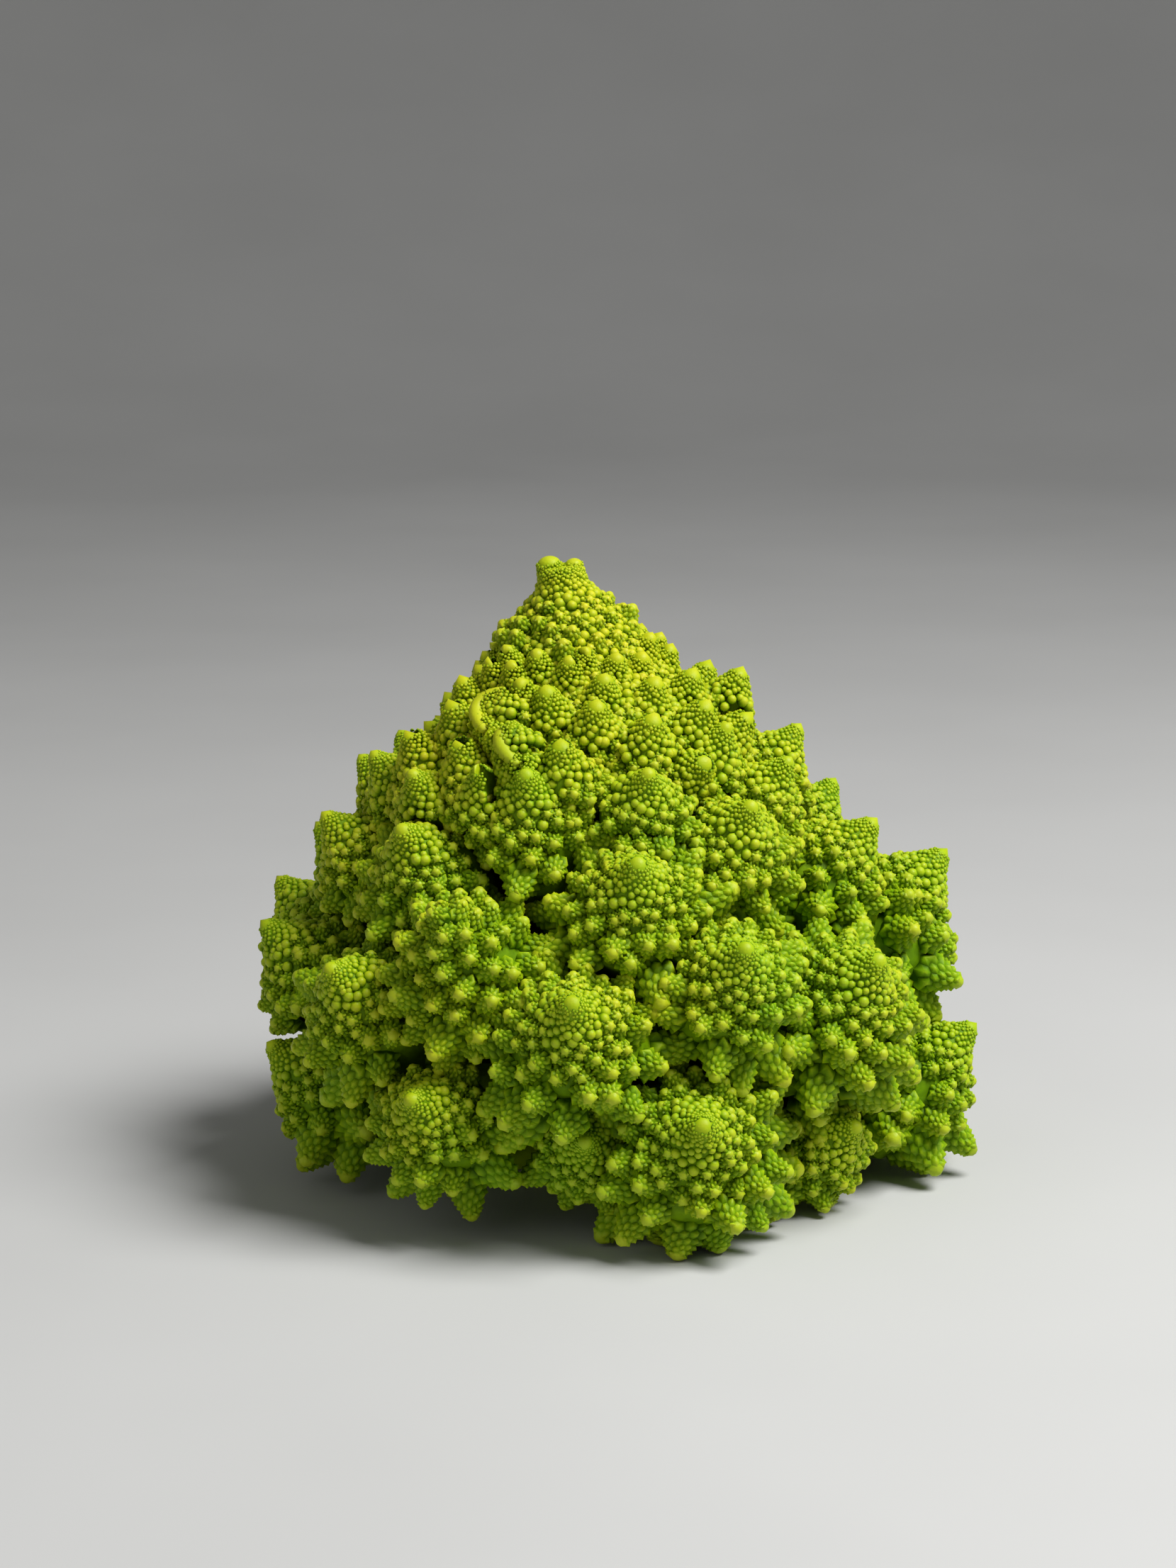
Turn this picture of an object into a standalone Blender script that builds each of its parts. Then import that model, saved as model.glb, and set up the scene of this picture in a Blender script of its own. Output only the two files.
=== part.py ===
"""A romanesco head: pointed florets in a spiral round a cut stem, under a crown of small buds.

Lengths are in millimetres until a mesh is made. The head stands on the cut face of its stem at
height 0, with the stem's centre at x = y = 0. Azimuth 0 looks along -Y and turns towards +X.
"""

import math

import bmesh
import bpy
import numpy as np
from mathutils import Vector
from mathutils.geometry import delaunay_2d_cdt

MM = 0.001
GOLDEN_ANGLE = math.radians(137.508)

# The whole head.
APEX_HEIGHT = 144.0
TIP_OUTLINE = (  # height and radius of the surface that the floret tips reach
    (-5, 60), (10, 68), (22, 77), (34, 81), (48, 81.5), (60, 80), (76, 72),
    (98, 52), (112, 38), (121, 25.5), (133, 11), (144, 0),
)
LEAN_FROM, LEAN = 30.0, 15.0  # above this height the axis drifts to -X, by this much at the apex
SIDE_FLATNESS = math.radians(12.0)  # florets at the diagonals face the front or back this much more
GAP = 0.3  # between neighbouring pieces
FLOOR_CLEARANCE = 0.5
RISE = ((20, 14), (35, 28), (62, 41), (90, 50), (110, 55), (135, 57))  # of the axes, by height
LOW_SIDE_RISE = 25.0  # the low florets at the sides point upwards this much more
TILT = 1.0  # the +X side points up this much more, and the -X side less

# The stem, from the cut face up: height and radius.
STEM_PROFILE = ((0, 18.5), (1.5, 20), (20, 24), (50, 22), (70, 17.5), (86, 12))
STEM_SIDES = 28

# A floret: its cone, where it rounds off, the underside and the stalk.
CONE_ANGLE = ((0, 22), (2.5, 26), (5, 31), (10, 35), (20, 36), (40, 38))  # by distance from the tip
ROUNDS_FROM = 0.85  # share of the radius where the cone gives way to the shoulder
UNDERCUT = 12.0  # how far past upright the shoulder turns, in degrees
UNDERSIDE = 1.1  # length of the flank below the shoulder, as a share of the radius
STALK = 0.36  # stalk radius at the stem, as a share of the floret's radius
STALK_RINGS = 5

# Buds: their spacing by distance from the tip, and how far they stand out by spacing.
BUD_SIZES = (
    (1.5, 0.60), (3, 0.78), (5.8, 1.25), (8.7, 1.95), (12.4, 2.9), (16.8, 4.3), (20, 5.5), (24, 7.4),
    (28, 8.9), (45, 10),
)
BUD_RISE = ((4, 0.78), (6, 0.92), (8.5, 1.05))
MODELLED_BUD = 5.5  # buds closer together than this are left to the surface finish

# The florets, by ring from the stem up: azimuth in degrees, height of the tip, how far the tip
# stands out of the outline, and radius.
FLORETS = (
    (12.5, 35, 0, 17.5), (52, 23, -11, 10.5), (88, 36, 1, 13), (124, 34, 0, 14.5), (166, 37, 0, 15.5),
    (207, 34, 0, 15.5), (245, 36, 0, 13), (282, 35, 1.5, 11), (326, 37, 0, 12), (353, 28, -9, 9),
    (355, 62, 0, 16.5), (25, 71, 0, 13.5), (51, 64, 0, 16), (98, 74, 8.5, 16.5), (122, 63, 0, 17),
    (158, 67, 0, 15), (190, 64, 0, 15.5), (222, 66, 0, 14.5), (250, 63, 5, 13),
    (275, 61, 0, 12.5), (310, 62, 0, 13),
    (333, 76, 0, 15), (10, 88, 0, 16), (85, 85, 1, 13.5), (113, 88, 1, 12), (142, 85, 0, 13),
    (173, 86, 0, 13), (205, 85, 0, 13), (236, 84, 0, 12), (260, 80, -2, 11.5), (279, 87, 0, 11),
    (315, 91, 0, 13),
    (43, 96, 0, 12.5), (19, 104, 0, 11), (345, 104, 0, 13.5), (72, 101, 0, 9.5), (100, 104, 5, 10),
    (128, 101, 0, 10.5), (154, 100, 0, 11), (183, 101, 0, 11), (212, 100, 0, 10.5),
    (240, 99, 0, 9.5), (263, 97, 0, 9), (281, 101, 0, 9), (309, 101, 0, 9), (331, 104, 0, 8.5),
    (57, 110, 0, 9),
)

# The crown: its surface, the two blunt horns on top, the ridges and the small buds.
CROWN_RADIUS = 35.0
CROWN_PROFILE = (  # distance from the axis and depth below the tip
    (0, 2.4), (4.4, 2.5), (5.1, 3.4), (5.3, 5.5), (5.9, 7.5), (7.6, 10.4), (9.5, 13.1), (14, 18),
    (17.2, 23.3), (23, 31), (29, 38.5), (32, 46), (30, 53),
)
HORNS = ((-2.5, 0.0, 2.75), (3.1, -0.5, 2.0))  # aside, up and radius
HORN_SHOULDER, HORN_ROUNDING = 0.75, 0.4  # where a horn turns down, and its slope up to there
CROWN_LIFT = math.radians(10.0)  # how much steeper the crown's buds point up than the florets
CREST_RISE = 6.0  # how far a ridge stands above the crown's surface
CRESTS = (  # crown buds drawn out into a ridge: azimuth and height of its ends and its middle
    ((-35, 119.5), (-43, 115.5), (-34, 111)), ((-26, 113), (-26, 109.5), (-19, 105.5)),
)
CROWN_BUDS = (  # the front ones: azimuth, height of the tip and how far it stands out
    (-5, 110, 0), (-40, 109, 0), (-66, 108, 0), (30, 114, 0), (10, 117, 0), (-12, 119.5, 0),
    (-26, 120.5, 0), (-64, 119, 0), (-56, 115, 0), (45, 120, 0), (18, 121.5, 0), (85, 119.5, 11),
    (105, 119, 4), (100, 113, 2), (-54, 123.5, 0), (-36, 123.5, 0), (1, 125, 0), (12, 126.5, 0),
    (32, 125, 0), (52, 124.5, 0), (85, 124.5, 2), (102, 126, 2), (-22, 126, 0), (-48, 126, 0),
    (-3, 128, 0), (-49, 129, 0), (47, 129, 0), (27, 129, 0), (6, 130.5, 0), (-14, 131, 0),
    (-30, 132, 0), (-56, 131.5, 0), (79, 130, 1), (83, 133, 1), (40, 132, 0), (14, 133, 0),
    (-6, 133, 0), (-24, 135, 0),
)
SMALLEST_CROWN_BUD = 3.0
CROWN_SPACING = (  # by distance from the tip
    (4, 0.8), (6, 0.95), (8, 1.3), (10, 1.8), (13.4, 2.6), (16.6, 3.4), (23, 4.6), (29.3, 6.2),
    (39, 8.9), (48.5, 11.5), (64, 15),
)
CROWN_TIP_SIZES = (  # spacing by depth of the tip below the apex
    (9, 2.9), (11, 3.5), (15, 4.7), (18.5, 6.2), (24, 8.9), (28, 10.5), (36, 13),
)

LEAF_GREEN = (0.30, 0.42, 0.030, 1.0)
TIP_GREEN = (0.36, 0.45, 0.040, 1.0)
STEM_GREEN = (0.46, 0.52, 0.16, 1.0)


def between(value, table):
    """The second column of a table of pairs, at this value of the first."""
    first, second = zip(*table)
    return float(np.interp(value, first, second))


def lean(height):
    return -LEAN * max(0.0, height - LEAN_FROM) / (APEX_HEIGHT - LEAN_FROM)


def outward(azimuth):
    return Vector((math.sin(azimuth), -math.cos(azimuth), 0.0))


def on_axis(height):
    return Vector((lean(height), 0.0, height))


def in_stem(height):
    """The stem's centre: it is straight, from the cut face to the foot of the crown."""
    top = STEM_PROFILE[-1][0]
    return Vector((lean(top) * height / top, 0.0, height))


def on_stem(azimuth, height):
    return in_stem(height) + outward(azimuth) * (between(height, STEM_PROFILE) + GAP)


def tip_place(azimuth, height, reach):
    return on_axis(height) + outward(azimuth) * (between(height, TIP_OUTLINE) + reach)


def axis_rise(azimuth, height):
    """How steeply a floret at this place points upwards."""
    rise = between(height, RISE) + TILT * math.sin(azimuth)
    rise += LOW_SIDE_RISE * math.sin(azimuth) ** 2 * max(0.0, 1.0 - height / 75.0)
    return math.radians(rise)


class Branch:
    """A floret or the crown: where its tip is, which way it points and where its stalk starts."""

    def __init__(self, tip, axis, root, root_face, radius, turn):
        self.tip = tip
        self.axis = axis
        self.root = root
        self.root_face = root_face  # the outward direction of the stem there
        self.radius = radius
        self.turn = turn
        self.rotation = axis.to_track_quat("Z", "Y")
        self.head = tip - axis * radius * 1.3  # near the middle of its widest part

    def local(self, point):
        return self.rotation.inverted() @ (point - self.tip)


def make_floret(number, azimuth, height, reach, radius):
    azimuth = math.radians(azimuth)
    tip = tip_place(azimuth, height, reach)
    facing = azimuth - SIDE_FLATNESS * math.sin(2.0 * azimuth)
    rise = axis_rise(azimuth, height)
    axis = outward(facing) * math.cos(rise) + Vector((0.0, 0.0, math.sin(rise)))
    level = between(height, ((20, 8), (36, 14), (64, 32), (88, 52), (104, 66), (112, 74)))
    root = on_stem(azimuth, level)
    up = on_stem(azimuth, level + 2.0) - on_stem(azimuth, level - 2.0)
    side = outward(azimuth)
    face = (side * up.z - Vector((0.0, 0.0, up.dot(side)))).normalized()
    return Branch(tip, axis, root, face, radius, number * GOLDEN_ANGLE)


def make_crown():
    top, below = on_axis(APEX_HEIGHT), on_axis(APEX_HEIGHT - 30.0)
    foot = in_stem(STEM_PROFILE[-1][0]) + Vector((0.0, 0.0, GAP))
    return Branch(top, (top - below).normalized(), foot, Vector((0, 0, 1)), CROWN_RADIUS, 0.0)


class Profile:
    """A curve from the tip outwards: distance from the axis, and depth below the tip."""

    def __init__(self, points):
        self.out, self.down = np.array(points, float).T
        steps = np.hypot(np.diff(self.out), np.diff(self.down))
        self.along = np.concatenate(([0.0], np.cumsum(steps)))
        self.length = float(self.along[-1])

    def at(self, along):
        return np.interp(along, self.along, self.out), np.interp(along, self.along, self.down)

    def point(self, along, turn, lift=0.0):
        """A point of the turned surface, raised along its normal."""
        out, down = self.at(along)
        out_before, down_before = self.at(max(along - 0.5, 0.0))
        out_after, down_after = self.at(min(along + 0.5, self.length))
        rise, fall = out_after - out_before, down_after - down_before
        size = math.hypot(rise, fall)
        out += lift * fall / size
        return Vector((out * math.cos(turn), out * math.sin(turn), lift * rise / size - down))


def floret_profile(radius, step=1.0):
    """A cone that flares from its tip, a round shoulder and a flank that narrows again."""
    out, down, along = 0.0, 0.0, 0.0
    points = [(out, down)]
    while out < ROUNDS_FROM * radius:
        angle = math.radians(between(along, CONE_ANGLE))
        out, down, along = out + step * math.sin(angle), down + step * math.cos(angle), along + step
        points.append((out, down))
    arc = (radius - out) / (1.0 - math.cos(angle))
    centre_out, centre_down = radius - arc, down + arc * math.sin(angle)
    for turned in np.linspace(angle, -math.radians(UNDERCUT), 7)[1:]:
        out, down = centre_out + arc * math.cos(turned), centre_down - arc * math.sin(turned)
        points.append((out, down))
    flank = UNDERSIDE * radius
    points.append((out - flank * math.sin(-turned), down + flank * math.cos(turned)))
    return Profile(points)


def bud_places(profile, turn, spacing_at):
    """Every bud of a spiral that fills the profile: distance along, turn and spacing."""
    along = np.linspace(1.0, profile.length, 400)
    density = 2.0 * math.pi * profile.at(along)[0] / (0.866 * spacing_at(along) ** 2)
    steps = 0.5 * (density[1:] + density[:-1]) * np.diff(along)
    count = np.concatenate(([0.0], np.cumsum(steps)))
    numbers = np.arange(int(count[-1]))
    places = np.interp(numbers, count, along)
    return [(a, turn + n * GOLDEN_ANGLE, spacing_at(a)) for n, a in zip(numbers, places)]


def flat(along, turn):
    return Vector((along * math.cos(turn), along * math.sin(turn)))


def triangles(points):
    return delaunay_2d_cdt(points, [], [], 0, 1e-6)[2]


def ring_on(profile, along, sides, shift=0.0):
    """Places round the profile, each as its flat spot and its point."""
    turns = [shift + 2.0 * math.pi * n / sides for n in range(sides)]
    return [(flat(along, turn), profile.point(along, turn)) for turn in turns]


def add_lumpy_cap(mesh, profile, plain, peaks, sides):
    """The turned surface with its peaks and a dip between them. Returns its rim.

    Each place is given by its spot on the surface laid out flat, and its point.
    """
    places = ring_on(profile, profile.length, sides) + plain
    first_peak = len(places)
    places += peaks
    spots = [spot for spot, _ in places]
    points = [point for _, point in places]
    for corners in triangles(spots):
        if sum(corner >= first_peak for corner in corners) >= 2:
            dip = sum((spots[corner] for corner in corners), Vector((0.0, 0.0))) / 3.0
            spots.append(dip)
            points.append(profile.point(dip.length, math.atan2(dip.y, dip.x)))
    verts = [mesh.verts.new(point) for point in points]
    for corners in triangles(spots):
        mesh.faces.new([verts[corner] for corner in corners])
    return verts[:sides]


def add_ring(mesh, centre, direction, radius, sides):
    across = (Vector((1.0, 0.0, 0.0)) - direction * direction.x).normalized()
    up = across.cross(direction)
    ring = []
    for n in range(sides):
        angle = 2.0 * math.pi * n / sides
        spoke = across * math.cos(angle) + up * math.sin(angle)
        ring.append(mesh.verts.new(centre + spoke * radius))
    return ring


def join_rings(mesh, upper, lower):
    for n, corner in enumerate(upper):
        before = n - 1
        mesh.faces.new((upper[before], corner, lower[n], lower[before]))


def add_stalk(mesh, rim, branch, profile, foot_radius):
    """The underside, and the stalk that bends from the cone's axis to the stem."""
    sides = len(rim)
    out, down = profile.at(profile.length)
    start = Vector((0.0, 0.0, -down - 0.3 * branch.radius))
    end = branch.local(branch.root)
    inward = branch.rotation.inverted() @ -branch.root_face
    reach = (end - start).length / 3.0
    bends = (start, start - Vector((0.0, 0.0, reach)), end - inward * reach, end + inward * 2.0)
    neck = max(foot_radius, 0.5 * out)
    for step in np.linspace(0.0, 1.0, STALK_RINGS):
        left = 1.0 - step
        weights = (left**3, 3.0 * left**2 * step, 3.0 * left * step**2, step**3)
        centre = sum((bend * weight for bend, weight in zip(bends, weights)), Vector())
        slopes = (left**2, 2.0 * left * step, step**2)
        pairs = zip(bends, bends[1:])
        direction = sum(((b - a) * slope for (a, b), slope in zip(pairs, slopes)), Vector())
        radius = neck + (foot_radius - neck) * step
        ring = add_ring(mesh, centre, direction.normalized(), radius, sides)
        join_rings(mesh, rim, ring)
        rim = ring
    mesh.faces.new(rim)


def trim(mesh, point, normal):
    """Cuts off what lies beyond a plane and closes the cut."""
    geometry = mesh.verts[:] + mesh.edges[:] + mesh.faces[:]
    bmesh.ops.bisect_plane(
        mesh, geom=geometry, dist=1e-4, plane_co=point, plane_no=normal, clear_outer=True
    )
    bmesh.ops.holes_fill(mesh, edges=[edge for edge in mesh.edges if edge.is_boundary])


def keep_largest(mesh):
    """Drops the crumbs that a cut may leave."""
    left = set(mesh.verts)
    parts = []
    while left:
        part, edge = set(), [left.pop()]
        while edge:
            vert = edge.pop()
            part.add(vert)
            near = {link.other_vert(vert) for link in vert.link_edges} & left
            left -= near
            edge.extend(near)
        parts.append(part)
    parts.sort(key=len)
    for part in parts[:-1]:
        bmesh.ops.delete(mesh, geom=list(part), context="VERTS")


def plane_between(branch, other):
    """A plane that holds the middle of the two roots and of the two heads, nearer the smaller."""
    share = branch.radius / (branch.radius + other.radius)
    heads = branch.head.lerp(other.head, share)
    roots = branch.root.lerp(other.root, share)
    along = (heads - roots).normalized()
    apart = other.head - branch.head
    normal = (apart - along * apart.dot(along)).normalized()
    return heads - normal * GAP / 2.0, normal


def make_material(name, colour, roughness):
    material = bpy.data.materials.new(name)
    material.use_nodes = True
    shader = material.node_tree.nodes["Principled BSDF"]
    shader.inputs["Base Color"].default_value = colour
    shader.inputs["Roughness"].default_value = roughness
    material.diffuse_color = colour
    return material


def make_object(name, mesh, colour, roughness, parent):
    bmesh.ops.recalc_face_normals(mesh, faces=mesh.faces)
    bmesh.ops.triangulate(mesh, faces=mesh.faces)
    bmesh.ops.scale(mesh, vec=(MM, MM, MM), verts=mesh.verts)
    data = bpy.data.meshes.new(name)
    mesh.to_mesh(data)
    mesh.free()
    data.materials.append(make_material(name, colour, roughness))
    made = bpy.data.objects.new(name, data)
    made.parent = parent
    bpy.context.collection.objects.link(made)
    return made


def build_branch(name, branch, others, profile, cap, sides, foot_radius, colour, parent):
    mesh = bmesh.new()
    rim = add_lumpy_cap(mesh, profile, *cap, sides)
    add_stalk(mesh, rim, branch, profile, foot_radius)
    turn_back = branch.rotation.inverted()
    for other in others:
        near = (other.head - branch.head).length < 2.6 * (branch.radius + other.radius)
        if other is not branch and near:
            point, normal = plane_between(branch, other)
            trim(mesh, branch.local(point), turn_back @ normal)
    trim(mesh, branch.local(branch.root), turn_back @ -branch.root_face)
    floor = Vector((0.0, 0.0, FLOOR_CLEARANCE))
    trim(mesh, branch.local(floor), turn_back @ Vector((0.0, 0.0, -1.0)))
    keep_largest(mesh)
    made = make_object(name, mesh, colour, 0.5, parent)
    made.location = branch.tip * MM
    made.rotation_mode = "QUATERNION"
    made.rotation_quaternion = branch.rotation


def build_stem(parent):
    mesh = bmesh.new()
    rings = []
    for height, radius in STEM_PROFILE:
        down = Vector((0.0, 0.0, -1.0))
        rings.append(add_ring(mesh, in_stem(height), down, radius, STEM_SIDES))
    for lower, upper in zip(rings, rings[1:]):
        join_rings(mesh, upper, lower)
    mesh.faces.new(rings[0])
    mesh.faces.new(rings[-1])
    make_object("stem", mesh, STEM_GREEN, 0.55, parent)


def bud_rise(spacing):
    return spacing * between(spacing, BUD_RISE)


def modelled_buds(profile, turn, table, least):
    """The buds that are large enough to model and clear of the profile's end."""
    buds = bud_places(profile, turn, lambda along: np.interp(along, *zip(*table)))
    return [b for b in buds if b[2] > least and b[0] + 0.4 * b[2] < profile.length]


def bud_peak(profile, along, turn, spacing):
    return flat(along, turn), profile.point(along, turn, bud_rise(spacing))


def floret_cap(profile, turn, sides):
    """The plain cone, and the peaks from where the buds are large."""
    buds = modelled_buds(profile, turn, BUD_SIZES, MODELLED_BUD)
    start = min([along for along, _, _ in buds], default=0.9 * profile.length)
    plain = ring_on(profile, 0.0, 1) + ring_on(profile, 0.3 * start, 6)
    plain += ring_on(profile, 0.65 * start, max(8, sides // 2), 0.3)
    return plain, [bud_peak(profile, *bud) for bud in buds]


def crown_tip(azimuth, height, reach=0.0):
    """Where a crown bud's tip is, and which way the bud points."""
    azimuth = math.radians(azimuth)
    rise = axis_rise(azimuth, height) + CROWN_LIFT
    axis = outward(azimuth) * math.cos(rise) + Vector((0.0, 0.0, math.sin(rise)))
    return tip_place(azimuth, height, reach), axis


def hand_placed_peak(crown, profile, tip, axis, size):
    """A crown bud with this tip, which stands on the crown one spacing below it."""
    foot = crown.local(tip - axis * size)
    along = float(np.interp(-foot.z, profile.down, profile.along))
    return flat(along, math.atan2(foot.y, foot.x)), crown.local(tip)


def horn(crown, aside, up, radius, sides=7):
    """A blunt horn on the crown's flat top: its middle and the ring where it rounds down."""
    centre = Vector((aside, 0.0, up))
    tips = [centre]
    for n in range(sides):
        turn = 2.0 * math.pi * n / sides
        spoke = Vector((math.cos(turn), math.sin(turn), -HORN_ROUNDING))
        tips.append(centre + spoke * HORN_SHOULDER * radius)
    turned = [crown.rotation.inverted() @ tip for tip in tips]
    return [(tip.to_2d(), tip) for tip in turned]


def crest_tips(crest, count=5):
    """Tips along a curve through a crest's three places."""
    first, middle, last = (crown_tip(*place)[0] for place in crest)
    handle = 2.0 * middle - 0.5 * (first + last)
    tips = []
    for share in np.linspace(0.0, 1.0, count):
        left = 1.0 - share
        tips.append(first * left**2 + handle * 2.0 * share * left + last * share**2)
    return tips


def crown_cap(crown, profile):
    """The horns, the buds placed by hand and the rest of the spiral where they leave it room."""
    plain = ring_on(profile, 0.0, 1)
    for row in HORNS:
        plain += horn(crown, *row)
    plain += ring_on(profile, 6.5, 12) + ring_on(profile, 11.0, 12, 0.3)
    peaks = []
    for azimuth, height, reach in CROWN_BUDS:
        size = between(APEX_HEIGHT - height, CROWN_TIP_SIZES)
        tip, axis = crown_tip(azimuth, height, reach)
        peaks.append(hand_placed_peak(crown, profile, tip, axis, size))
    for crest in CRESTS:
        axis = crown_tip(*crest[1])[1]
        for tip in crest_tips(crest):
            peaks.append(hand_placed_peak(crown, profile, tip, axis, CREST_RISE))
    taken = [profile.point(spot.length, math.atan2(spot.y, spot.x)) for spot, _ in peaks]
    for along, turn, spacing in modelled_buds(profile, 0.0, CROWN_SPACING, SMALLEST_CROWN_BUD):
        foot = profile.point(along, turn)
        if all((foot - other).length > 0.84 * spacing for other in taken):
            peaks.append(bud_peak(profile, along, turn, spacing))
            taken.append(foot)
    return plain, peaks


def main():
    for stray in list(bpy.data.objects):
        bpy.data.objects.remove(stray)
    head = bpy.data.objects.new("romanesco_head", None)
    bpy.context.collection.objects.link(head)
    florets = [make_floret(n, *row) for n, row in enumerate(FLORETS, 1)]
    crown = make_crown()
    everything = florets + [crown]
    build_stem(head)
    for number, floret in enumerate(florets, 1):
        profile = floret_profile(floret.radius)
        sides = 16 if floret.radius > 12.0 else 12
        cap = floret_cap(profile, floret.turn, sides)
        foot = max(2.6, STALK * floret.radius)
        name = f"floret_{number:02d}"
        build_branch(name, floret, everything, profile, cap, sides, foot, LEAF_GREEN, head)
    profile = Profile(CROWN_PROFILE)
    cap = crown_cap(crown, profile)
    build_branch("crown", crown, everything, profile, cap, 20, 9.0, TIP_GREEN, head)


main()
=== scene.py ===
"""The looks of a romanesco head: every floret and the crown dressed in their spirals of buds.

Lengths are in millimetres until a mesh is made. Azimuth 0 looks along -Y and turns towards +X.
The placing of the florets repeats the CAD's, from the same driving sizes.
"""

import math

import bpy
import numpy as np
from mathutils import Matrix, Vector
from mathutils.bvhtree import BVHTree
from mathutils.geometry import delaunay_2d_cdt


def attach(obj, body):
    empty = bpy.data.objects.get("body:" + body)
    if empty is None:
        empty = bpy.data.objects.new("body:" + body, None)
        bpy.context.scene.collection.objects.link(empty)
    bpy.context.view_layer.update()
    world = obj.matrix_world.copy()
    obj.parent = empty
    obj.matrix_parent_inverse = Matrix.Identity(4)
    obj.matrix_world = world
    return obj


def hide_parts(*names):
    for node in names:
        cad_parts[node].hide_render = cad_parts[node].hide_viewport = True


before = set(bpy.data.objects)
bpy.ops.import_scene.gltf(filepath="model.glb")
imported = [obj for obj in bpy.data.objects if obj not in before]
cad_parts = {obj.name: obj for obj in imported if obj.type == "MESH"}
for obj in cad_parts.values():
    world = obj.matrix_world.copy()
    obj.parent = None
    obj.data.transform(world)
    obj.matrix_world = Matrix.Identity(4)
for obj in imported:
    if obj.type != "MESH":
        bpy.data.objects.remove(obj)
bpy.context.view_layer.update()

MM = 0.001
GOLDEN_ANGLE = math.radians(137.508)

# The whole head, as in the CAD.
APEX_HEIGHT = 144.0
TIP_OUTLINE = (
    (-5, 60), (10, 68), (22, 77), (34, 81), (48, 81.5), (60, 80), (76, 72),
    (98, 52), (112, 38), (121, 25.5), (133, 11), (144, 0),
)
LEAN_FROM, LEAN = 30.0, 15.0  # the axis leans to -X from this height, and this far at the apex
SIDE_FLATNESS = math.radians(12.0)  # how much the florets beside a side turn away from it
RISE = ((20, 14), (35, 28), (62, 41), (90, 50), (110, 55), (135, 57))  # of the axes, by height
LOW_SIDE_RISE, LOW_SIDE_TOP = 25.0, 75.0  # more of it at the sides, below this height
TILT = 1.0  # the +X side points up this much more, and the -X side less
ROOT_HEIGHT = ((20, 8), (36, 14), (64, 32), (88, 52), (104, 66), (112, 74))  # of a stalk, by its tip's
HEAD_DEPTH = 1.3  # how far a head's middle is behind its tip, in radii
STEM_PROFILE = ((0, 18.5), (1.5, 20), (20, 24), (50, 22), (70, 17.5), (86, 12))  # radius by height
CONE_ANGLE = ((0, 22), (2.5, 26), (5, 31), (10, 35), (20, 36), (40, 38))  # by distance from the tip
ROUNDS_FROM = 0.85  # a cone rounds off from this share of its radius
UNDERCUT, UNDERSIDE = 12.0, 1.1  # how far it turns under, and the underside's length in radii
STALK, LEAST_STALK, CROWN_STALK = 0.36, 2.6, 9.0  # radius at the stem: in radii, least, the crown's
BUD_SIZES = (  # spacing by distance from the tip
    (1.5, 0.60), (3, 0.78), (5.8, 1.25), (8.7, 1.95), (12.4, 2.9), (16.8, 4.3), (20, 5.5), (24, 7.4),
    (28, 8.9), (45, 10),
)
BUD_STRETCH = ((6, 1.0), (12, 1.0), (17, 1.06), (23, 1.13))  # of those distances, by radius
BUD_RISE = (  # a bud's height in spacings, by spacing
    (0.5, 0.45), (1.5, 0.52), (2.5, 0.60), (4.0, 0.78), (6.0, 0.92), (8.5, 1.05),
)
FLORETS = (  # azimuth, height of the tip, how far it stands out, and radius
    (12.5, 35, 0, 17.5), (52, 23, -11, 10.5), (88, 36, 1, 13), (124, 34, 0, 14.5), (166, 37, 0, 15.5),
    (207, 34, 0, 15.5), (245, 36, 0, 13), (282, 35, 1.5, 11), (326, 37, 0, 12), (353, 28, -9, 9),
    (355, 62, 0, 16.5), (25, 71, 0, 13.5), (51, 64, 0, 16), (98, 74, 8.5, 16.5), (122, 63, 0, 17),
    (158, 67, 0, 15), (190, 64, 0, 15.5), (222, 66, 0, 14.5), (250, 63, 5, 13),
    (275, 61, 0, 12.5), (310, 62, 0, 13),
    (333, 76, 0, 15), (10, 88, 0, 16), (85, 85, 1, 13.5), (113, 88, 1, 12), (142, 85, 0, 13),
    (173, 86, 0, 13), (205, 85, 0, 13), (236, 84, 0, 12), (260, 80, -2, 11.5), (279, 87, 0, 11),
    (315, 91, 0, 13),
    (43, 96, 0, 12.5), (19, 104, 0, 11), (345, 104, 0, 13.5), (72, 101, 0, 9.5), (100, 104, 5, 10),
    (128, 101, 0, 10.5), (154, 100, 0, 11), (183, 101, 0, 11), (212, 100, 0, 10.5),
    (240, 99, 0, 9.5), (263, 97, 0, 9), (281, 101, 0, 9), (309, 101, 0, 9), (331, 104, 0, 8.5),
    (57, 110, 0, 9),
)
CROWN_RADIUS = 35.0
CROWN_PROFILE = (  # distance from the axis and depth below the tip
    (0, 2.4), (4.4, 2.5), (5.1, 3.4), (5.3, 5.5), (5.9, 7.5), (7.6, 10.4), (9.5, 13.1), (14, 18),
    (17.2, 23.3), (23, 31), (29, 38.5), (32, 46), (30, 53),
)
HORNS = ((-2.5, 0.0, 2.75), (3.1, -0.5, 2.0))  # aside, up and radius
CRESTS = (  # crown buds drawn out into a ridge: azimuth and height of its ends and its middle
    ((-35, 119.5), (-43, 115.5), (-34, 111)), ((-26, 113), (-26, 109.5), (-19, 105.5)),
)
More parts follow.
